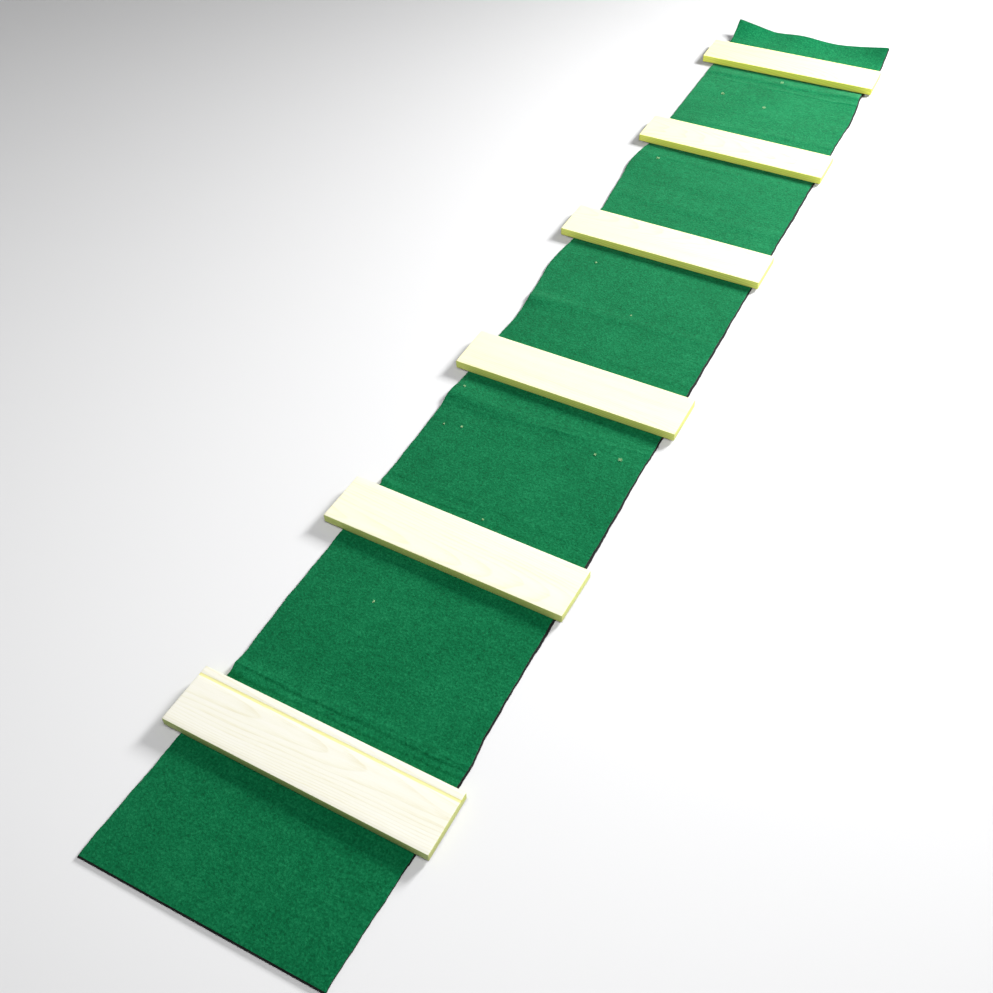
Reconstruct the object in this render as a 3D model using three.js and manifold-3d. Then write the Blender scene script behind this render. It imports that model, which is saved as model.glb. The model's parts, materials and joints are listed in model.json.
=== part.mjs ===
// A roll-out practice putting mat: a long green felt runner on a thin rubber backing, with six
// softwood boards laid flat across it and stapled on from below. It lies on the floor with its near
// end towards -Y, and between the boards it folds up like a concertina.
//
// Millimetres and degrees, +Z up. The origin is on the floor, half way along the sheet's flat length.

import * as THREE from 'three';
import { mergeVertices } from 'three/addons/utils/BufferGeometryUtils.js';
import Module from 'manifold-3d';

const wasm = await Module();
wasm.setup();

// ---- driving dimensions ----

const MAT_WIDTH = 545;
const BACKING_THICKNESS = 2;
const FELT_THICKNESS = 3;

const BOARD_LENGTH = 610;
const BOARD_WIDTH = 140;
const BOARD_THICKNESS = 22;

// Each board's centre: how far past the one before it (the first one past the near end), how far to
// the right of the sheet's centreline, and how many degrees it is turned about +Z.
const BOARDS = [
  { spacing: 353, shift: -2.5, turn: -1.3 },
  { spacing: 592, shift: -12, turn: -2.1 },
  { spacing: 615, shift: 0, turn: -1.1 },
  { spacing: 672, shift: -10, turn: -0.75 },
  { spacing: 603.5, shift: -7, turn: -0.7 },
  { spacing: 621.5, shift: -11.5, turn: 0.55 },
];

// The sheet runs on past the last board's rear edge and curls up off the floor there.
const FAR_FLAP_LENGTH = 150;
const FAR_CURL_RADIUS = 210;
const FAR_CURL_STEPS = 14;

// The shallow groove along the first board's top, measured from the board's rear edge.
const GROOVE_FROM_REAR = 21;
const GROOVE_WIDTH = 3;
const GROOVE_DEPTH = 1;

// Heavy flat-wire staples, driven up through the sheet: one in the middle of each board and one
// towards each corner.
const STAPLE_CROWN = 12;
const STAPLE_LEG = 16;
const STAPLE_WIRE_THICKNESS = 1.2;
const STAPLE_WIRE_WIDTH = 1.6;
const STAPLE_SPREAD = 400;
const STAPLE_ROWS_APART = 90;

// Room between pieces that lie against each other, and between a board and the line that the end
// flap beside it lifts at.
const GAP = 0.3;
const FLAP_CLEARANCE = 4;

// ---- worked out from them ----

const feltBottom = BACKING_THICKNESS + GAP;
const feltTop = feltBottom + FELT_THICKNESS;
const boardBottom = feltTop + GAP;
const stapleTop = feltBottom - GAP;
const stapleBottom = stapleTop - STAPLE_WIRE_THICKNESS;
const stapleTip = stapleBottom + STAPLE_LEG;

const lengthToLastBoard = BOARDS.reduce((sum, board) => sum + board.spacing, 0);
const matLength = lengthToLastBoard + BOARD_WIDTH / 2 + FAR_FLAP_LENGTH;
const nearEnd = -matLength / 2;
const farEnd = matLength / 2;

let along = nearEnd;
const boardPlaces = BOARDS.map(({ spacing, shift, turn }) => {
  along += spacing;
  return { x: shift, y: along, turn: THREE.MathUtils.degToRad(turn) };
});

// How far a turned board reaches from its centre along the mat.
const reach = ({ turn }) =>
  (BOARD_WIDTH / 2) * Math.cos(turn) + (BOARD_LENGTH / 2) * Math.abs(Math.sin(turn));

const firstBoard = boardPlaces[0];
const lastBoard = boardPlaces[boardPlaces.length - 1];
const nearFlapLine = firstBoard.y - reach(firstBoard) - FLAP_CLEARANCE;
const farFlapLine = lastBoard.y + reach(lastBoard) + FLAP_CLEARANCE;

// ---- solids ----

const material = (color, roughness, metalness = 0) =>
  new THREE.MeshStandardMaterial({ color, roughness, metalness });
const felt = () => material(0x16744a, 0.95);
const backing = () => material(0x0c0d0c, 0.8);
const wood = () => material(0xe9dfb8, 0.6);
const steel = () => material(0xa9acb0, 0.35, 1);

function mesh(name, geometry, look) {
  const made = new THREE.Mesh(geometry, look);
  made.name = name;
  return made;
}

function toManifold(geometry) {
  const bare = geometry.clone();
  bare.deleteAttribute('normal');
  bare.deleteAttribute('uv');
  const welded = mergeVertices(bare);
  return new wasm.Manifold(new wasm.Mesh({
    numProp: 3,
    vertProperties: new Float32Array(welded.attributes.position.array),
    triVerts: new Uint32Array(welded.index.array),
  }));
}

// The geometry with every one of the tools cut out of it.
function cut(geometry, tools) {
  const left = tools.reduce((rest, tool) => rest.subtract(toManifold(tool)), toManifold(geometry));
  const { vertProperties, triVerts } = left.getMesh();
  const result = new THREE.BufferGeometry();
  result.setAttribute('position', new THREE.BufferAttribute(vertProperties, 3));
  result.setIndex(new THREE.BufferAttribute(triVerts, 1));
  result.computeVertexNormals();
  return result;
}

// A box between two heights, centred in plan on x, y.
function block(sizeX, sizeY, bottom, top, x = 0, y = 0) {
  const box = new THREE.BoxGeometry(sizeX, sizeY, top - bottom);
  return box.translate(x, y, (bottom + top) / 2);
}

// ---- staples ----

const staplePlaces = [[0, 0]];
for (const side of [-1, 1]) {
  for (const row of [-1, 1]) {
    staplePlaces.push([(side * STAPLE_SPREAD) / 2, (row * STAPLE_ROWS_APART) / 2]);
  }
}

// A staple as one U of flat wire, with its crown along the board.
function stapleGeometry() {
  const half = STAPLE_CROWN / 2;
  const inner = half - STAPLE_WIRE_THICKNESS;
  const crownTop = stapleTop - stapleBottom;
  const outline = new THREE.Shape();
  outline.moveTo(-half, 0);
  outline.lineTo(half, 0);
  outline.lineTo(half, STAPLE_LEG);
  outline.lineTo(inner, STAPLE_LEG);
  outline.lineTo(inner, crownTop);
  outline.lineTo(-inner, crownTop);
  outline.lineTo(-inner, STAPLE_LEG);
  outline.lineTo(-half, STAPLE_LEG);
  outline.closePath();
  const wire = new THREE.ExtrudeGeometry(outline, { depth: STAPLE_WIRE_WIDTH, bevelEnabled: false });
  wire.rotateX(Math.PI / 2);
  return wire.translate(0, STAPLE_WIRE_WIDTH / 2, stapleBottom);
}

// The slot that takes a staple's crown, cut right through the backing.
function crownSlot([x, y]) {
  const length = STAPLE_CROWN + 2 * GAP;
  const width = STAPLE_WIRE_WIDTH + 2 * GAP;
  return [block(length, width, -1, feltBottom, x, y)];
}

// The two holes that its legs go up through, from below the felt to the given height.
function legHoles([x, y], top) {
  const along = STAPLE_WIRE_THICKNESS + 2 * GAP;
  const across = STAPLE_WIRE_WIDTH + 2 * GAP;
  const offset = (STAPLE_CROWN - STAPLE_WIRE_THICKNESS) / 2;
  return [-offset, offset].map((dx) => block(along, across, BACKING_THICKNESS, top, x + dx, y));
}

// ---- boards ----

function boardGeometry(grooved) {
  const top = boardBottom + BOARD_THICKNESS;
  const plain = block(BOARD_LENGTH, BOARD_WIDTH, boardBottom, top);
  const holes = staplePlaces.flatMap((place) => legHoles(place, stapleTip + GAP));
  if (!grooved) return cut(plain, holes);
  const grooveY = BOARD_WIDTH / 2 - GROOVE_FROM_REAR;
  const groove = block(BOARD_LENGTH + 2, GROOVE_WIDTH, top - GROOVE_DEPTH, top + 1, 0, grooveY);
  return cut(plain, [...holes, groove]);
}

// A board with its staples, turned and set in its place on the mat.
function board(place, index) {
  const number = index + 1;
  const group = new THREE.Group();
  group.position.set(place.x, place.y, 0);
  group.rotation.z = place.turn;
  group.add(mesh(`board_${number}`, boardGeometry(index === 0), wood()));
  staplePlaces.forEach(([x, y], i) => {
    const staple = mesh(`staple_${number}_${i + 1}`, stapleGeometry(), steel());
    staple.position.set(x, y, 0);
    group.add(staple);
  });
  return group;
}

// The cutting tools of one board, moved from the board's own frame to the mat's.
function placed(tools, { x, y, turn }) {
  return tools.map((tool) => tool.rotateZ(turn).translate(x, y, 0));
}

// ---- the sheet ----

// One stretch of felt on its backing, from y = from to y = to, with a gap at each folding line.
// The boards that stand on it have their staples' ways cut through it.
function stretch(name, from, to, boards = []) {
  const start = from === nearEnd ? from : from + GAP / 2;
  const end = to - GAP / 2;
  const centre = (start + end) / 2;
  const slots = boards.flatMap((b) => placed(staplePlaces.flatMap(crownSlot), b));
  const holes = boards.flatMap((b) => placed(staplePlaces.flatMap((p) => legHoles(p, feltTop + 1)), b));
  const pieces = [
    [`${name}_backing`, 0, BACKING_THICKNESS, slots, backing()],
    [`${name}_felt`, feltBottom, feltTop, holes, felt()],
  ];
  return pieces.map(([pieceName, bottom, top, tools, look]) => {
    const flat = block(MAT_WIDTH, end - start, bottom, top);
    tools.forEach((tool) => tool.translate(0, -centre, 0));
    const piece = mesh(pieceName, cut(flat, tools), look);
    piece.position.y = centre;
    return piece;
  });
}

// A layer of the far flap: a band between two heights above the floor, bent up about a line over
// the flap's folding line.
function curledBand(bottom, top) {
  const sweep = (farEnd - farFlapLine - GAP / 2) / FAR_CURL_RADIUS;
  const from = -Math.PI / 2;
  const band = new THREE.Shape();
  band.absarc(0, FAR_CURL_RADIUS, FAR_CURL_RADIUS - bottom, from, from + sweep, false);
  band.absarc(0, FAR_CURL_RADIUS, FAR_CURL_RADIUS - top, from + sweep, from, true);
  const bent = new THREE.ExtrudeGeometry(band, {
    depth: MAT_WIDTH,
    curveSegments: FAR_CURL_STEPS,
    bevelEnabled: false,
  });
  bent.rotateX(Math.PI / 2).rotateZ(Math.PI / 2);
  return bent.translate(-MAT_WIDTH / 2, 0, 0);
}

function farFlap() {
  const layers = [
    mesh('far_flap_backing', curledBand(0, BACKING_THICKNESS), backing()),
    mesh('far_flap_felt', curledBand(feltBottom, feltTop), felt()),
  ];
  for (const layer of layers) layer.position.y = farFlapLine + GAP / 2;
  return layers;
}

// The sheet from end to end. It folds half way between each two boards.
function sheet() {
  const pieces = stretch('near_flap', nearEnd, nearFlapLine);
  let from = nearFlapLine;
  boardPlaces.forEach((place, i) => {
    const next = boardPlaces[i + 1];
    const to = next ? (place.y + next.y) / 2 : farFlapLine;
    pieces.push(...stretch(`panel_${i + 1}`, from, to, [place]));
    from = to;
  });
  pieces.push(...farFlap());
  return pieces;
}

// ---- the mat ----

const mat = new THREE.Group();
mat.add(...sheet(), ...boardPlaces.map(board));

export default mat;
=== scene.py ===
import json
import math

import bpy
import numpy as np
from mathutils import Matrix, Vector


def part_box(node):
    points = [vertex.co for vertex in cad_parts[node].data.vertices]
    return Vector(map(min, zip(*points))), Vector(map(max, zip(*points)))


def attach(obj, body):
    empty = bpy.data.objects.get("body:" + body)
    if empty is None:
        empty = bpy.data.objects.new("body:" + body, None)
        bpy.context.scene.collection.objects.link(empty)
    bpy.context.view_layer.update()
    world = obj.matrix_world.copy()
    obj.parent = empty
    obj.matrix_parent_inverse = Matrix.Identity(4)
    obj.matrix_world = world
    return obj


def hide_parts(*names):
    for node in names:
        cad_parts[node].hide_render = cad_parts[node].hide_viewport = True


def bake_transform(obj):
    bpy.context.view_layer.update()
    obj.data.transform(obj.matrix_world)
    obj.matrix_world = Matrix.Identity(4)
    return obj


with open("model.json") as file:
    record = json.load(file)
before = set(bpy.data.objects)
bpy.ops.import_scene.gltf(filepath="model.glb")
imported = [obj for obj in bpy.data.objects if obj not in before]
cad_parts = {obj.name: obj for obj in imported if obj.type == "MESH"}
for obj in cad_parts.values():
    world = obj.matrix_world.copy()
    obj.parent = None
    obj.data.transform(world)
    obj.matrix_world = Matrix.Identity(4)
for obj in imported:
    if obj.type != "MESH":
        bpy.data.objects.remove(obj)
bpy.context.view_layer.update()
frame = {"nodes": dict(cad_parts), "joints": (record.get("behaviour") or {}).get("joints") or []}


# ---- The rubber backing ----
# A thin black sheet of foamed rubber, cast onto the underside of the felt with a fine waffle pressed
# into it, so that the mat doesn't creep. It is as long as the mat, lies loose on the floor, and shows
# only as a black line along the cut edges until the mat is folded.

mm = 0.001
lines = {joint["name"]: joint["pos_m"][1] for joint in frame["joints"]}
fold_lines = [lines[name] for name in ("near_flap_lift", "fold_1", "fold_2", "fold_3", "fold_4", "fold_5",
                                       "far_flap_lift")]
bodies = ["near_flap", "panel_1", "panel_2", "panel_3", "panel_4", "panel_5", "panel_6", "far_flap"]


def lie_of(node):
    """A board's centre and turn: the middle of its corners, and the direction that they spread in most."""
    mesh = frame["nodes"][node].data
    points = np.empty(len(mesh.vertices) * 3)
    mesh.vertices.foreach_get("co", points)
    plan = points.reshape(-1, 3)[:, :2]
    middle = (plan.min(0) + plan.max(0)) / 2
    spread = np.linalg.eigh(np.cov((plan - middle).T))[1][:, 1]
    return middle, math.atan(spread[1] / spread[0])


board_count = 6
board_lies = [lie_of(f"board_{n}") for n in range(1, board_count + 1)]
board_half_width = 70 * mm
board_half_length = 305 * mm
near_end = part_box("near_flap_backing")[0].y
far_overrun = 150 * mm
curl_start = board_lies[-1][0][1] + board_half_width
far_end = curl_start + far_overrun
half_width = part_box("panel_3_backing")[1].x


def ease(t):
    """0 below 0 and 1 above 1, with the cubic 3t^2 - 2t^3 between."""
    t = np.clip(t, 0, 1)
    return t * t * (3 - 2 * t)


def bell(distance, reach, short=1.0):
    """The bell curve exp(-(distance / reach)^2), its reach multiplied by short where distance < 0."""
    return np.exp(-((distance / (reach * np.where(distance < 0, short, 1))) ** 2))


def board_edge(number, side, x):
    """How far along the mat a board's edge is at x: its centre, plus half its width, plus its skew."""
    (middle_x, middle_y), turn = board_lies[number - 1]
    return middle_y + side * board_half_width / math.cos(turn) + (x - middle_x) * math.tan(turn)


# Creases that folding has left beside the boards. Each is a low ridge: the board it lies beside and on
# which side (1 far, -1 near), how far off it is at the mat's left and right edges, its half width, and
# its height at the left and at the right, in millimetres.
creases = [
    (1, 1, 22, 30, 8, 1.6, 1.6), (1, 1, 42, 49, 9, 2.6, 2.4), (1, 1, 52, 60, 8, 0.5, 2.0),
    (2, 1, 30, 36, 9, 1.4, 0.5), (2, 1, 66, 76, 14, 1.0, 0.6),
    (3, -1, 104, 96, 30, 6.0, 0.5), (3, -1, 138, 74, 7, 1.2, 1.0), (3, -1, 128, 132, 8, 0.3, 1.1),
    (3, -1, 178, 150, 9, 1.0, 0.4), (3, -1, 108, 58, 7, 0.4, 0.8),
    (3, 1, 224, 252, 34, 4.4, 3.0), (3, 1, 186, 204, 8, 0.2, 1.0), (3, 1, 70, 60, 22, 0.6, 1.6),
    (4, 1, 150, 120, 30, 1.4, 2.2), (5, -1, 66, 60, 18, 1.2, 0.4),
    (5, 1, 60, 84, 24, 1.0, 2.0), (6, -1, 58, 56, 24, 2.6, 5.0), (6, -1, 98, 104, 10, 0.4, 1.6),
]

# Places where an edge of the mat lifts: the board and side of it, how far off, which edge (-1 left,
# 1 right), how far the lift reaches along and in from the edge, and its height.
edge_lifts = [
    (1, 1, 34, -1, 20, 60, 6), (2, 1, 28, -1, 18, 50, 4), (3, -1, 84, -1, 44, 80, 7),
    (3, 1, 222, -1, 34, 80, 5), (5, -1, 110, -1, 80, 90, 4), (6, -1, 80, 1, 60, 80, 8),
    (6, -1, 250, 1, 60, 60, 3),
]

# Where an edge of the mat isn't straight: the board and side, how far off, which edge, the reach
# along it, and how far it stands out (or in, below zero).
edge_wobbles = [
    (1, 1, 24, -1, 12, -5), (2, 1, 20, -1, 10, -4), (3, -1, 110, -1, 60, 2), (3, 1, 120, -1, 110, -9),
    (3, 1, 400, -1, 100, 13), (5, -1, 130, -1, 110, 15), (5, -1, 420, -1, 80, -9), (1, 1, 50, 1, 60, 7),
    (6, -1, 0, 1, 110, -12), (6, -1, 243, 1, 70, 3), (1, 1, 240, -1, 90, 3), (2, 1, 300, 1, 90, -2),
]


def side_edge(side, y):
    """x of the mat's left (-1) or right (1) edge: a width that grows a little towards the far end, a
    near flap that leans to the left, wobbles at the creases, and a fine uneven cut."""
    lean = -9 * mm * ease((fold_lines[0] - y) / (fold_lines[0] - near_end))
    width = half_width + 4.5 * mm * y / far_end
    out = 0
    for number, board_side, off, edge, reach, amount in edge_wobbles:
        if edge == side:
            place = board_edge(number, board_side, side * half_width) + board_side * off * mm
            out = out + amount * mm * bell(y - place, reach * mm)
    cut = 0.5 * np.sin(61 * y + 2 * side) + 0.35 * np.sin(143 * y + side) + 0.2 * np.sin(389 * y)
    return 1.5 * mm + lean + side * (width + out + cut * mm)


def relief(x, y):
    """How high the sheet stands off the floor at a flat place: broad waves, the creases and the lifted
    edges, all pressed flat under the boards and kept low where the mat folds."""
    across = np.clip((x + half_width) / (2 * half_width), 0, 1)
    height = 0.35 * mm * (2 + np.sin(11 * y + 5 * x) + np.sin(17 * y - 9 * x + 2))
    for number, side, left, right, reach, high_left, high_right in creases:
        wander = (1.6 * np.sin(23 * x + 2.4 * left) + 1.1 * np.sin(57 * x + right)
                  + 0.6 * np.sin(131 * x + left)) * mm
        off = (left + (right - left) * across) * mm + wander
        place = board_edge(number, side, x) + side * off
        tall = (high_left + (high_right - high_left) * across) * mm
        uneven = 0.8 + 0.2 * np.sin(31 * x + 1.7 * right)
        height = height + tall * uneven * bell(y - place, reach * mm, 0.45 if reach < 20 else 0.6)
    for number, side, off, edge, along, inward, high in edge_lifts:
        place = board_edge(number, side, x) + side * off * mm
        from_edge = edge * side_edge(edge, y) - edge * x
        height = height + high * mm * bell(y - place, along * mm) * bell(from_edge, inward * mm)
    for (middle_x, middle_y), turn in board_lies:
        off = np.abs((y - middle_y) * math.cos(turn) - (x - middle_x) * math.sin(turn)) - board_half_width
        height = height * ease((off - 1 * mm) / (16 * mm))
    for line in fold_lines:
        height = height * (1 - 0.7 * bell(y - line, 30 * mm))
    return height


curl_middle = 18
curl_corner_rise = 32
curl_ripple = 8


def curl_height(x):
    """How high the mat's far edge stands: low in the middle, with a ripple to the left of it, and both
    of its corners curled up."""
    share = x / half_width
    left = curl_corner_rise * np.clip((-share - 0.5) / 0.5, 0, 1) ** 1.15
    right = curl_corner_rise * np.clip((share - 0.3) / 0.7, 0, 1) ** 1.6
    return (curl_middle + left + right + curl_ripple * bell(share + 0.12, 0.24)) * mm


def lay(share, y, height):
    """A point of the mat, from where it is across it (-1 left edge, 1 right edge), how far along it is
    while flat, and how high above its underside. Past the last board the mat bends up on an arc whose
    tip reaches curl_height, and what was upright tilts back by the arc's angle."""
    share, y, height = np.broadcast_arrays(share, y, height)
    left, right = side_edge(-1, y), side_edge(1, y)
    x = left + (right - left) * (share + 1) / 2
    bend = 2.1 * curl_height(x) / far_overrun**2
    past = np.maximum(y - curl_start, 0)
    angle = bend * past
    along = np.minimum(y, curl_start) + np.sin(angle) / bend - np.sin(angle) * height
    up = (1 - np.cos(angle)) / bend + np.cos(angle) * height
    return np.stack([x, along, up + relief(x, y)], axis=-1)


def spaced(low, high, wide, close):
    """Positions from low to high, about wide apart, and closer together near each (place, reach,
    spacing) in close: the inverse of the running sum of how dense they should be."""
    fine = np.linspace(low, high, 6001)
    dense = np.full_like(fine, 1 / wide)
    for place, reach, spacing in close:
        dense = np.maximum(dense, np.where(np.abs(fine - place) < reach, 1 / spacing, 0))
    total = np.concatenate([[0], np.cumsum((dense[1:] + dense[:-1]) / 2 * np.diff(fine))])
    return np.interp(np.linspace(0, total[-1], math.ceil(total[-1]) + 1), total, fine)


def shell(name, top, bottom, material):
    """A closed sheet between two grids of points: a face for each cell of both, the lower ones turned
    over, and a wall of quads round the rim. The first grid direction is +Y and the second is +X."""
    rows, columns = top.shape[:2]
    number = np.arange(rows * columns).reshape(rows, columns)
    under = number + rows * columns
    cells = np.stack([number[:-1, :-1], number[:-1, 1:], number[1:, 1:], number[1:, :-1]], -1)
    walls = []
    for upper, lower in ((number[0], under[0]), (number[-1, ::-1], under[-1, ::-1]),
                         (number[:, -1], under[:, -1]), (number[::-1, 0], under[::-1, 0])):
        walls.append(np.stack([lower[:-1], lower[1:], upper[1:], upper[:-1]], -1))
    faces = np.concatenate([cells.reshape(-1, 4), (cells[..., ::-1] + rows * columns).reshape(-1, 4),
                            *walls])
    mesh = bpy.data.meshes.new(name)
    mesh.from_pydata(np.concatenate([top.reshape(-1, 3), bottom.reshape(-1, 3)]), [], faces.tolist())
    mesh.polygons.foreach_set("use_smooth", np.ones(len(faces), bool))
    mesh.set_sharp_from_angle(angle=math.radians(50))
    depth = np.repeat([0.0, 1.0], rows * columns)
    mesh.attributes.new("depth", "FLOAT", "POINT").data.foreach_set("value", depth)
    mesh.materials.append(material)
    piece = bpy.data.objects.new(name, mesh)
    bpy.context.scene.collection.objects.link(piece)
    return piece


class Wire:
    """A value inside a material. Sums, products and the like of wires and numbers add Math nodes."""

    def __init__(self, look, socket):
        self.look, self.socket = look, socket

    def maths(self, operation, *others):
        return self.look.node("Math", {i: v for i, v in enumerate((self, *others))}, operation=operation)

    def __add__(self, other):
        return self.maths("ADD", other)

    __radd__ = __add__

    def __sub__(self, other):
        return self.maths("SUBTRACT", other)

    def __rsub__(self, other):
        return self.look.node("Math", {0: other, 1: self}, operation="SUBTRACT")

    def __mul__(self, other):
        return self.maths("MULTIPLY", other)

    __rmul__ = __mul__

    def __truediv__(self, other):
        return self.maths("DIVIDE", other)

    def __pow__(self, other):
        return self.maths("POWER", other)


class Look:
    """A material with one Principled shader, and the nodes that feed it."""

    def __init__(self, name, **constants):
        self.material = bpy.data.materials.new(name)
        self.material.use_nodes = True
        self.tree = self.material.node_tree
        self.shader = self.tree.nodes["Principled BSDF"]
        for key, value in constants.items():
            self.shader.inputs[key.replace("_", " ")].default_value = value

    def put(self, socket, value):
        """Links a wire to a socket, or sets the socket to a number or a colour."""
        if isinstance(value, Wire):
            self.tree.links.new(value.socket, socket)
        else:
            socket.default_value = value

    def node(self, kind, inputs=None, output=0, **settings):
        """Adds a shader node with these settings and inputs, and gives one of its outputs."""
        made = self.tree.nodes.new("ShaderNode" + kind)
        for key, value in settings.items():
            if key == "stops":
                while len(made.color_ramp.elements) < len(value):
                    made.color_ramp.elements.new(0.5)
                for element, (place, colour) in zip(made.color_ramp.elements, value):
                    element.position, element.color = place, (*colour, 1)
            else:
                setattr(made, key, value)
        for key, value in (inputs or {}).items():
            self.put(made.inputs[key], value)
        return Wire(self, made.outputs[output])

    def noise(self, place, scale, detail=2.0, rough=0.5, distortion=0.0):
        """Cloudy noise from 0 to 1 over a place."""
        return self.node("TexNoise", {"Vector": place, "Scale": scale, "Detail": detail,
                                      "Roughness": rough, "Distortion": distortion})

    def stretched(self, place, scale, turn=0.0):
        """A place scaled by a different amount each way, and turned about Z."""
        return self.node("Mapping", {"Vector": place, "Scale": scale, "Rotation": (0, 0, turn)})

    def between(self, value, low, high):
        """A value's share of the way from low to high, kept between 0 and 1."""
        return self.node("MapRange", {"Value": value, "From Min": low, "From Max": high})

    def mix(self, share, first, second, how="MIX"):
        """Two colours mixed by a share."""
        made = self.tree.nodes.new("ShaderNodeMix")
        made.data_type, made.blend_type = "RGBA", how
        for socket, value in ((made.inputs[0], share), (made.inputs[6], first), (made.inputs[7], second)):
            if not isinstance(value, Wire) and socket.type == "RGBA":
                value = (*value, 1)
            self.put(socket, value)
        return Wire(self, made.outputs[2])

    def bump(self, height, distance, strength=1.0, under=None):
        """A bump of a height from 0 to 1, as deep as distance, on top of another bump."""
        inputs = {"Height": height, "Distance": distance, "Strength": strength}
        if under:
            inputs["Normal"] = under
        return self.node("Bump", inputs)

    def finish(self, **inputs):
        """Feeds the shader and gives the material."""
        for key, value in inputs.items():
            self.put(self.shader.inputs[key.replace("_", " ")], value)
        return self.material


def rubber_look():
    """Matt black foam rubber: a pressed waffle of small squares, with pale dust in its hollows and
    grey scuffs where it has rubbed on the floor."""
    look = Look("backing_rubber", Specular_IOR_Level=0.15)
    place = look.node("TexCoord", output=3)
    parts = look.node("SeparateXYZ", {0: place})
    down = Wire(look, parts.socket.node.outputs[1])
    waffle_pitch = 4.2 * mm
    turns = 2 * math.pi / waffle_pitch
    ribs = (parts * turns).maths("SINE") * 0.5 + 0.5
    bars = (down * turns).maths("SINE") * 0.5 + 0.5
    waffle = ribs.maths("MAXIMUM", bars) ** 3
    grit = look.noise(place, 900, 3, 0.6)
    scuff = look.between(look.noise(look.stretched(place, (40, 9, 40)), 1, 5, 0.65), 0.52, 0.72)
    dust = look.between(look.noise(place, 14, 4, 0.6), 0.4, 0.75) * (1 - waffle)
    colour = look.mix(dust * 0.5, (0.006, 0.0065, 0.007), (0.05, 0.047, 0.042))
    colour = look.mix(scuff * waffle * 0.6, colour, (0.05, 0.05, 0.048))
    normal = look.bump(grit, 0.25 * mm, 0.5, look.bump(waffle, 0.5 * mm, 0.8))
    return look.finish(Base_Color=colour, Roughness=0.72 + dust * 0.2 - scuff * 0.12, Normal=normal)


rubber = rubber_look()
backing_thickness = 2 * mm
staple_places = []
for n, (_, turn) in enumerate(board_lies, 1):
    for i in range(1, 6):
        low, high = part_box(f"staple_{n}_{i}")
        staple_places.append(((low.x + high.x) / 2, (low.y + high.y) / 2, turn))
crown_half = 6 * mm
dimple_depth = 1.55 * mm
dimple_reach = 2.3 * mm


def pulled_in(x, y):
    """How far the staples pull the backing's underside up: a dimple round each crown, whose depth falls
    off sharply with the distance from the crown's line."""
    depth = 0
    for middle_x, middle_y, turn in staple_places:
        along = (x - middle_x) * math.cos(turn) + (y - middle_y) * math.sin(turn)
        aside = (y - middle_y) * math.cos(turn) - (x - middle_x) * math.sin(turn)
        past = np.maximum(np.abs(along) - crown_half, 0)
        depth = depth + dimple_depth * np.exp(-((np.hypot(past, aside) / dimple_reach) ** 4))
    return depth


cuts = [near_end, *(middle[1] for middle, _ in board_lies), far_end]
piece_names = ["near_end", "span_1", "span_2", "span_3", "span_4", "span_5", "far_end"]
close_rows = [(line, 14 * mm, 1.4 * mm) for line in fold_lines]
for (_, middle_y), _ in board_lies:
    close_rows += [(middle_y + side * 130 * mm, 68 * mm, 2.2 * mm) for side in (-1, 1)]
staple_rows = [(y, 5 * mm, 0.9 * mm) for _, y, _ in staple_places]
staple_columns = [(x / half_width, 9 * mm / half_width, 0.9 * mm / half_width) for x, _, _ in staple_places]
blend_reach = 10 * mm


def bend_across_fold(piece, k):
    """Bakes sheet piece k's placement into its mesh; the folding line at k is looked up but not used."""
    line = fold_lines[k]
    line - blend_reach
    line + blend_reach
    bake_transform(piece)


def overhang(side, y):
    """How far the backing stands out past the felt's cut edge: more, and more unevenly, on the right."""
    left = 0.9 + 0.3 * np.sin(17 * y)
    # Partly painted shade: the wide black strip on the right stands both for the backing and for the shade
    # along the mat's right edge.
    right = 3.7 + 1.1 * np.sin(8 * y + 2) + 0.5 * np.sin(29 * y)
    return np.where(side < 0, left, right * ease((y - fold_lines[0] + 60 * mm) / (120 * mm)) + 0.5) * mm


# Partly painted shade: the black strip at the near end stands both for the backing and for the shade on
# that cut edge.
near_overhang = 3.0 * mm
for k, name in enumerate(piece_names):
    rows = spaced(cuts[k], cuts[k + 1], 10 * mm, close_rows + staple_rows)[:, None]
    if k == 0:
        rows[0] -= near_overhang
    across = spaced(-1, 1, 12 * mm / half_width, staple_columns)[None, :]
    across = across * (1 + overhang(across, rows) / half_width)
    under = lay(across, rows, 0)
    under[..., 2] += pulled_in(under[..., 0], under[..., 1])
    piece = shell(f"backing_{name}", lay(across, rows, backing_thickness), under, rubber)
    bend_across_fold(piece, k)
    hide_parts(*(["near_flap_backing", "panel_1_backing"] if k == 0 else
                         [f"{bodies[k + 1]}_backing"]))
    cuts[k + 1] - cuts[k]


# ---- The staples ----
# Flat galvanised wire staples, five to a board, driven up from below through the backing and the felt
# into the wood. Their crowns pull into the rubber, so nothing scratches the floor.

def wire_look():
    """Drawn zinc-coated wire: fine scratches along it and dull spots in the zinc."""
    look = Look("staple_steel", Metallic=1.0)
    place = look.node("TexCoord", output=3)
    drawn = look.noise(look.stretched(place, (300, 4000, 4000)), 1, 3)
    spots = look.between(look.noise(place, 700, 3), 0.45, 0.7)
    colour = look.mix(spots, (0.62, 0.63, 0.65), (0.40, 0.41, 0.42))
    return look.finish(Base_Color=colour, Roughness=0.26 + spots * 0.25,
                       Normal=look.bump(drawn, 0.06 * mm, 0.6))


wire = wire_look()
for n in range(1, board_count + 1):
    for i in range(1, 6):
        crown = frame["nodes"][f"staple_{n}_{i}"]
        crown.data.materials.clear()
        crown.data.materials.append(wire)


# ---- The felt ----
# The putting surface: a needle-punched polyester felt 3 mm thick, dyed green, cut from the roll with a
# knife and glued to the backing. Its fibres lie every way, clump a little, and are flattened and
# creased where the mat has been folded beside the boards.

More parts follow.
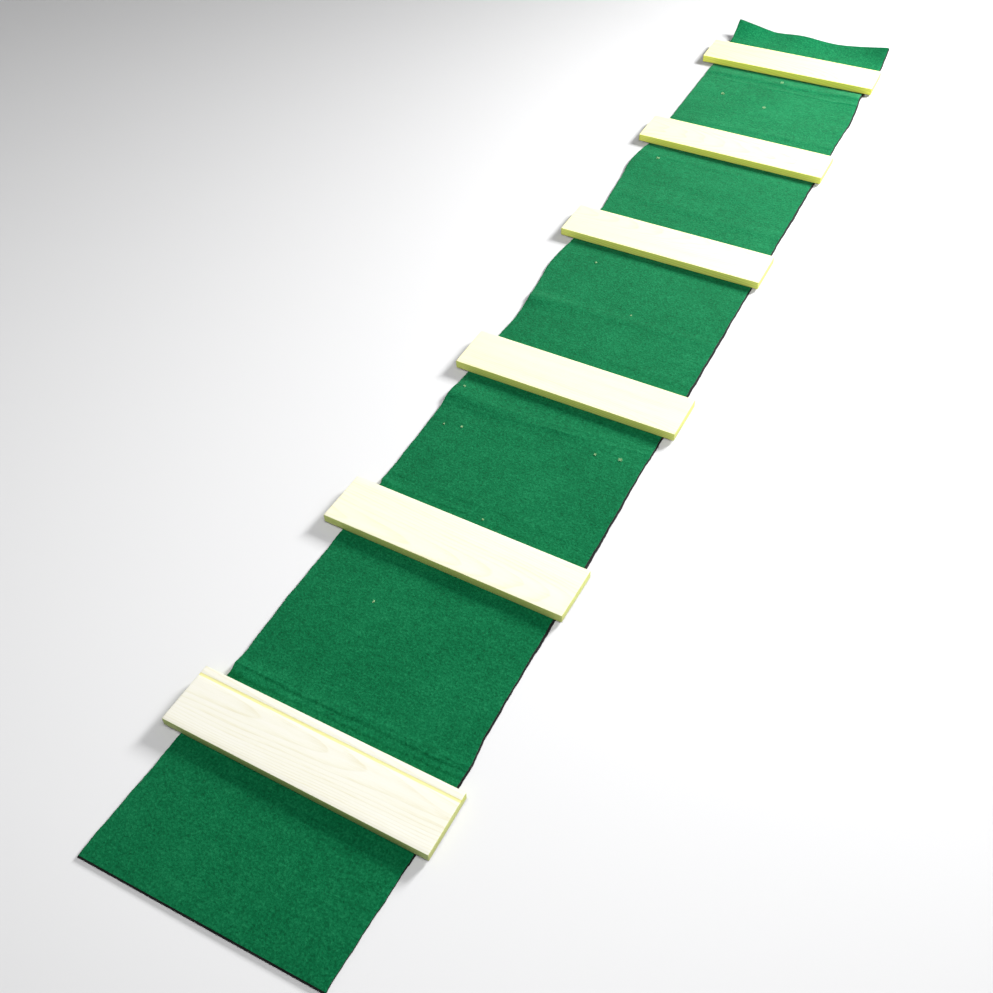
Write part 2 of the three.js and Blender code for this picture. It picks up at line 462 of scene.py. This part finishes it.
def felt_look():
    """Green needle felt: short crossing fibres in three directions, cloudy clumps of lighter and darker
    fibre, faint rows left by the needles across the roll, a few pale fibres on top, and painted shade
    on its cut edges."""
    look = Look("green_felt", Roughness=0.96, Specular_IOR_Level=0.06, Sheen_Weight=0.09,
                Sheen_Roughness=0.4, Sheen_Tint=(0.85, 1.0, 0.85, 1))
    place = look.node("TexCoord", output=3)
    strands = [look.noise(look.stretched(place, (2600, 260, 2600), turn), 1, 2, 0.6)
               for turn in (0.35, 1.45, 2.5)]
    fibre = strands[0].maths("MAXIMUM", strands[1]).maths("MAXIMUM", strands[2])
    tuft = look.noise(place, 190, 4, 0.62, 0.4)
    clump = look.noise(place, 62, 4, 0.6, 0.3)
    broad = look.noise(place, 6, 3, 0.55)
    rows = look.noise(look.stretched(place, (7, 240, 7)), 1, 3, 0.6)
    tone = (look.between(fibre, 0.42, 0.72) * 0.30 + look.between(tuft, 0.3, 0.7) * 0.40
            + look.between(clump, 0.3, 0.7) * 0.15 + look.between(rows, 0.3, 0.7) * 0.08
            + look.between(broad, 0.3, 0.7) * 0.10)
    colour = look.node("ValToRGB", {0: tone}, stops=[
        (0.22, (0.0001, 0.056, 0.018)), (0.52, (0.0010, 0.110, 0.038)), (0.85, (0.0110, 0.180, 0.070))])
    stray = look.between(look.noise(look.stretched(place, (1500, 170, 1500), 0.9), 1, 1), 0.765, 0.80)
    colour = look.mix(stray * 0.35, colour, (0.10, 0.32, 0.15))
    # Painted shade: the felt's cut edge, from a little below its top down to the backing, is painted near
    # black for the shade that lies along it.
    painted_edge_shade = look.between(look.node("Attribute", attribute_name="depth", output=2), 0.12, 0.4)
    colour = look.mix(painted_edge_shade, colour, (0.004, 0.012, 0.008))
    normal = look.bump(tuft, 1.6 * mm, 0.8, look.bump(clump, 2.2 * mm, 0.5))
    normal = look.bump(fibre, 0.5 * mm, 0.7, normal)
    return look.finish(Base_Color=colour, Normal=normal)


felt = felt_look()
felt_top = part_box("panel_3_felt")[1].z
edge_wear = 0.8 * mm
near_edge_wear = 0.6 * mm
for k, name in enumerate(piece_names):
    rows = spaced(cuts[k], cuts[k + 1], 9 * mm, close_rows)[:, None]
    rim = np.array([0, 0.8, 2.2]) * mm / half_width
    across = np.concatenate([-1 + rim, spaced(-1, 1, 11 * mm / half_width, [])[1:-1], 1 - rim[::-1]])
    worn_edge = -edge_wear * np.exp(-(1 - np.abs(across)) * half_width / edge_wear)[None, :]
    top = lay(across[None, :], rows, felt_top)
    top[..., 2] += worn_edge
    if k == 0:
        top[0, :, 2] -= near_edge_wear
    piece = shell(f"felt_{name}", top, lay(across[None, :], rows, backing_thickness), felt)
    bend_across_fold(piece, k)
    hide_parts(*(["near_flap_felt", "panel_1_felt"] if k == 0 else [f"{bodies[k + 1]}_felt"]))
    cuts[k + 1] - cuts[k]


# ---- Loose tufts ----
# A few pale tufts of fibre that have come loose and cling to the felt, about 5 mm across. Each is a
# handful of thin curled strands, tangled together.

def lint_look():
    """Pale yellow-green polyester fibre, lighter where it is teased out."""
    look = Look("loose_fibre", Roughness=0.9, Sheen_Weight=0.4)
    fine = look.noise(look.node("TexCoord", output=3), 900, 3)
    colour = look.mix(look.between(fine, 0.3, 0.7), (0.16, 0.42, 0.16), (0.50, 0.72, 0.36))
    return look.finish(Base_Color=colour, Normal=look.bump(fine, 0.1 * mm))


def strands(name, middle, radius, count, material):
    """Curled strands: each is a tube round a wavy line p(t) = middle + radius * (sines of t), with three
    corners to its section, which taper to the ends, and faces that close it."""
    chance = np.random.default_rng(int(abs(middle[0] * 1e4) + abs(middle[1] * 1e3)))
    steps = 14
    t = np.linspace(-1, 1, steps)[None, :]
    turn = chance.uniform(0, 2 * math.pi, (3, count, 1))
    rate = chance.uniform(1.5, 3.5, (3, count, 1))
    offset = chance.uniform(-0.35, 0.35, (2, count, 1))
    line = np.stack([offset[0] + 0.75 * np.sin(rate[0] * t + turn[0]),
                     offset[1] + 0.75 * np.sin(rate[1] * t + turn[1]),
                     0.3 + 0.28 * np.sin(2 * rate[2] * t + turn[2])], -1) * radius
    along = np.gradient(line, axis=1)
    along /= np.linalg.norm(along, axis=-1, keepdims=True)
    side = np.cross(along, (0.3, 0.2, 0.93))
    side /= np.linalg.norm(side, axis=-1, keepdims=True)
    over = np.cross(side, along)
    thick = 0.16 * mm * np.sqrt(1.04 - t**2)[..., None]
    round_it = np.arange(3) * 2 * math.pi / 3
    ring = (line[:, :, None] + thick[..., None] * (side[:, :, None] * np.cos(round_it)[:, None]
                                                   + over[:, :, None] * np.sin(round_it)[:, None]))
    number = np.arange(count * steps * 3).reshape(count, steps, 3)
    after = np.roll(number, -1, axis=2)
    tubes = np.stack([number[:, :-1], number[:, 1:], after[:, 1:], after[:, :-1]], -1).reshape(-1, 4)
    caps = np.concatenate([number[:, 0], number[:, -1, ::-1]])
    mesh = bpy.data.meshes.new(name)
    mesh.from_pydata(ring.reshape(-1, 3) + np.array(middle), [], tubes.tolist() + caps.tolist())
    mesh.polygons.foreach_set("use_smooth", np.ones(len(mesh.polygons), bool))
    mesh.materials.append(material)
    piece = bpy.data.objects.new(name, mesh)
    bpy.context.scene.collection.objects.link(piece)
    return piece


# Each tuft's place across and along the mat, and its radius, in millimetres.
tufts = [(213, -472, 4.5), (151, -482, 3), (-247, -406, 3), (-230, -548, 2.5), (-185, -538, 3),
         (6, -789, 2.5), (-95, -1103, 2.5), (-163, 239, 3), (22, 56, 2.5), (-213, 847, 5),
         (-168, 1344, 5), (-9, 1311, 5), (-5, 1501, 5)]
lint = lint_look()
for number, (x, y, radius) in enumerate(tufts, 1):
    x, y = x * mm, y * mm
    on_felt = felt_top + float(relief(np.array(x), np.array(y)))
    tuft = strands(f"tuft_{number}", (x, y, on_felt), radius * mm, 16, lint)
    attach(tuft, bodies[int(np.searchsorted(fold_lines, y))])


# ---- The boards ----
# Six lengths of planed softwood, 610 x 140 x 22 mm, sawn square at the ends and left bare, with only
# their arrises rubbed down. They lie flat across the felt and overhang it at both sides. The first has
# a shallow groove along its top, near its far edge. Each board has a tone that rises from the near board
# to the far one: the far boards' faces are yellower, painted light makes the far boards' edges lighter,
# and painted shade makes the near ones' edges darker.

arris = 1.1 * mm
groove_from_far = 21 * mm
groove_half = 2.6 * mm
groove_deep = 0.45 * mm


def board_outline(bottom, top, grooved):
    """Half the way round a board's section: straight faces joined by quarter circles, as points (across,
    up), with a rounded groove let into the top if it has one."""
    corner = np.linspace(0, math.pi / 2, 5)
    wide = board_half_width - arris
    flat = np.linspace(-1, 1, 13)[1:-1]
    points = []
    for middle, start in (((wide, bottom + arris), -math.pi / 2), ((wide, top - arris), 0),
                          ((-wide, top - arris), math.pi / 2), ((-wide, bottom + arris), math.pi)):
        points += [(middle[0] + arris * math.cos(start + a), middle[1] + arris * math.sin(start + a))
                   for a in corner]
        if start == 0:
            across = -flat * wide
            if grooved:
                centre = board_half_width - groove_from_far
                lips = centre + groove_half * np.linspace(1.5, -1.5, 9)
                across = np.concatenate([across[across > lips[0]], lips, across[across < lips[-1]]])
            dip = np.zeros_like(across)
            if grooved:
                dip = groove_deep * ease(1.6 - np.abs(across - centre) / groove_half)
            points += list(zip(across, top - dip))
        if start == math.pi:
            points += [(share * wide, bottom) for share in flat]
    return np.array(points)


def board_mesh(name, node, grooved, tone, material):
    """The outline carried along the board, drawn in a little at the sawn ends, closed with flat ends,
    and turned into place. Each point keeps its place on the board, shifted by a different amount for
    each board, as the grain's own coordinates, how far it is on an edge or an end, and the board's
    tone, which carries painted light rising from the near board to the far one and is full in the
    first board's groove."""
    low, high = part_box(node)
    middle, turn = lie_of(node)
    outline = board_outline(low.z - 0.15 * mm, high.z, grooved)
    ends = np.array([0, 0.15, 0.5, 1.0]) * mm
    drawn_in = arris * 0.7 * (1 - np.sqrt(1 - (1 - ends / ends[-1]) ** 2))
    between_ends = np.linspace(-0.3, 0.3, 61)
    along = np.concatenate([-board_half_length + ends, between_ends, board_half_length - ends[::-1]])
    inset = np.concatenate([drawn_in, np.zeros(len(between_ends)), drawn_in[::-1]])
    centre_up = (low.z + high.z) / 2
    half_up = (high.z - low.z) / 2
    across = outline[None, :, 0] * (1 - inset[:, None] / board_half_width)
    up = centre_up + (outline[None, :, 1] - centre_up) * (1 - inset[:, None] / half_up)
    x = np.broadcast_to(along[:, None], across.shape)
    count = outline.shape[0]
    ring = np.arange(len(along) * count).reshape(len(along), count)
    after = np.roll(ring, -1, axis=1)
    faces = np.stack([ring[:-1], ring[1:], after[1:], after[:-1]], -1).reshape(-1, 4)[:, ::-1].tolist()
    faces += [ring[0][::-1].tolist(), ring[-1].tolist()]
    local = np.stack([x, across, up], -1).reshape(-1, 3)
    points = local.copy()
    points[:, 0] = middle[0] + local[:, 0] * math.cos(turn) - local[:, 1] * math.sin(turn)
    points[:, 1] = middle[1] + local[:, 0] * math.sin(turn) + local[:, 1] * math.cos(turn)
    mesh = bpy.data.meshes.new(name)
    mesh.from_pydata(points, [], faces)
    smooth = np.ones(len(faces), bool)
    smooth[-2:] = False
    mesh.polygons.foreach_set("use_smooth", smooth)
    mesh.set_sharp_from_angle(angle=math.radians(40))
    number = int(node[-1])
    grain = local + np.array([0.83 * number, 0.031 * (number * 37 % 7 - 3), 0.02 * (number % 3)])
    edge = ease((np.abs(local[:, 1]) - (board_half_width - 0.9 * arris)) / (0.8 * arris))
    # The board's tone: painted light, rising from the near board to the far one, and full in the first
    # board's groove, which is painted yellower.
    yellow = np.full(len(local), tone)
    if grooved:
        let_in = np.abs(local[:, 1] - (board_half_width - groove_from_far)) < 1.2 * groove_half
        yellow = np.where(let_in & (local[:, 2] > centre_up), 1.0, yellow)
    end = ease((np.abs(local[:, 0]) - (board_half_length - 0.7 * mm)) / (0.6 * mm))
    mesh.attributes.new("grain", "FLOAT_VECTOR", "POINT").data.foreach_set("vector", grain.ravel())
    mesh.attributes.new("tone", "FLOAT", "POINT").data.foreach_set("value", yellow)
    mesh.attributes.new("edge", "FLOAT", "POINT").data.foreach_set("value", edge)
    mesh.attributes.new("end", "FLOAT", "POINT").data.foreach_set("value", end)
    mesh.materials.append(material)
    piece = bpy.data.objects.new(name, mesh)
    bpy.context.scene.collection.objects.link(piece)
    return piece


def pine_look():
    """Bare planed pine. Growth rings are shells round a pith below the board, so they run as long flames
    on the top and as arcs on the ends; the edges and ends are sapwood, yellower and greener than the
    faces, and the ends have dark pores."""
    look = Look("bare_pine", Specular_IOR_Level=0.35)
    place = look.node("Attribute", attribute_name="grain", output=1)
    edge = look.node("Attribute", attribute_name="edge", output=2)
    end = look.node("Attribute", attribute_name="end", output=2)
    tone = look.node("Attribute", attribute_name="tone", output=2)
    drift = look.noise(look.stretched(place, (1.6, 9, 9)), 1, 2, 0.5)
    radial = look.node("VectorMath", {0: look.stretched(place, (0.05, 1, 1)), 1: (0, 0.012, 0.075)},
                       operation="ADD")
    radius = look.node("VectorMath", {0: radial}, output=1, operation="LENGTH")
    ring = ((radius + drift * 0.016) / (2.9 * mm)).maths("FRACT")
    late = look.between(ring, 0.45, 0.95) * look.between(ring, 1.0, 0.93)
    fleck = look.noise(look.stretched(place, (26, 900, 900)), 1, 3, 0.6)
    streak = look.noise(look.stretched(place, (3, 60, 60)), 1, 4, 0.6)
    face = look.node("ValToRGB", {0: late * 0.35 + look.between(fleck, 0.3, 0.7) * 0.35
                                  + look.between(streak, 0.35, 0.7) * 0.35}, stops=[
        (0.0, (0.72, 0.705, 0.645)), (0.5, (0.69, 0.675, 0.575)), (1.0, (0.62, 0.58, 0.41))])
    # Painted light and shade: the tone rises from the near board to the far one, so the far boards' faces
    # are yellower and their edges lighter, and the near boards' edges are darker, with stronger ring lines.
    face = look.mix(tone, face, look.mix(1.0, face, (1.0, 0.98, 0.50), "MULTIPLY"))
    side = look.mix(1.0, face, look.mix(tone, (0.66, 0.80, 0.32), (0.92, 1.0, 0.31)), "MULTIPLY")
    side = look.mix(late * (0.7 - tone * 0.5), side, (0.20, 0.25, 0.07))
    pores = look.between(look.noise(place, 620, 2), 0.63, 0.72)
    sawn = look.mix(pores * 0.6, look.mix(late * 0.5, look.mix(1.0, face, (0.82, 0.90, 0.40), "MULTIPLY"),
                                           (0.42, 0.40, 0.10)), (0.20, 0.17, 0.05))
    colour = look.mix(end, look.mix(edge, face, side), sawn)
    normal = look.bump(late + fleck * 0.5, 0.12 * mm, 0.5)
    return look.finish(Base_Color=colour, Roughness=0.55 + fleck * 0.15 + end * 0.2, Normal=normal)


pine = pine_look()
# Painted light: these tones rise from the near board to the far one, where more light falls on the boards'
# edges.
painted_light_tones = (0.0, 0.25, 0.5, 0.65, 0.85, 1.0)
for n, tone in enumerate(painted_light_tones, 1):
    plank = board_mesh(f"pine_board_{n}", f"board_{n}", n == 1, tone, pine)
    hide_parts(f"board_{n}")
    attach(plank, f"panel_{n}")


# ---- The floor, the light and the camera ----
# A plain pale floor, with painted shade that darkens it towards the light so that it looks evenly pale.
# A low soft light stands past the mat's far end, a weak one and a pale sky fill the shade, and the
# camera looks down along the mat from above the near end's right-hand side.

floor_look = Look("pale_floor", Roughness=0.9, Specular_IOR_Level=0.1)
floor_place = floor_look.node("SeparateXYZ", {0: floor_look.node("TexCoord", output=3)}, output=1)
# Painted shade: the floor is darker towards the far end, where the key light falls strongest.
painted_floor_shade = floor_look.mix(floor_look.between(floor_place, -1.8, 1.8), (0.66, 0.66, 0.665), (0.44, 0.44, 0.443))
floor_mesh = bpy.data.meshes.new("floor")
floor_mesh.from_pydata([(-40, -40, 0), (40, -40, 0), (40, 40, 0), (-40, 40, 0)], [], [(0, 1, 2, 3)])
floor_mesh.materials.append(floor_look.finish(Base_Color=painted_floor_shade))
floor = bpy.data.objects.new("floor", floor_mesh)
floor.location.z = -0.5 * mm
bpy.context.scene.collection.objects.link(floor)


def panel_light(name, place, target, size, energy, spread=180):
    """A square soft light at a place, turned to a target, and narrowed to a spread in degrees."""
    light = bpy.data.lights.new(name, "AREA")
    light.shape, light.size, light.energy = "SQUARE", size, energy
    light.spread = math.radians(spread)
    holder = bpy.data.objects.new(name, light)
    aim = Vector(target) - Vector(place)
    holder.matrix_world = Matrix.Translation(place) @ aim.to_track_quat("-Z", "Y").to_matrix().to_4x4()
    bpy.context.scene.collection.objects.link(holder)
    return light


panel_light("key", (1.6, 3.0, 2.0), (0, -1.2, 0), 1.1, 268, 146)
fill = panel_light("fill", (0.5, -1.7, 2.4), (0, 0.3, 0), 1.2, 7)
fill.use_nodes = True
even = fill.node_tree.nodes.new("ShaderNodeLightFalloff")
even.inputs["Strength"].default_value = 1.0
fill.node_tree.links.new(even.outputs["Constant"], fill.node_tree.nodes["Emission"].inputs["Strength"])

world = bpy.data.worlds.new("studio")
world.use_nodes = True
world.node_tree.nodes["Background"].inputs[0].default_value = (1, 1, 1, 1)
world.node_tree.nodes["Background"].inputs[1].default_value = 0.25
bpy.context.scene.world = world
bpy.context.scene.view_settings.view_transform = "Standard"

yaw, pitch, roll = (math.radians(a) for a in (-28.226, 47.083, -1.395))
forward = np.array([math.sin(yaw) * math.cos(pitch), math.cos(yaw) * math.cos(pitch), -math.sin(pitch)])
level = np.array([math.cos(yaw), -math.sin(yaw), 0])
upright = np.cross(level, forward)
right = math.cos(roll) * level + math.sin(roll) * upright
up = math.cos(roll) * upright - math.sin(roll) * level
camera_data = bpy.data.cameras.new("camera")
camera_data.lens, camera_data.sensor_width = 40.77, 36
camera = bpy.data.objects.new("camera", camera_data)
turned = Matrix(np.stack([right, up, -forward], axis=1).tolist()).to_4x4()
camera.matrix_world = Matrix.Translation((0.8484, near_end - 0.451, 1.934)) @ turned
bpy.context.scene.collection.objects.link(camera)
bpy.context.scene.camera = camera
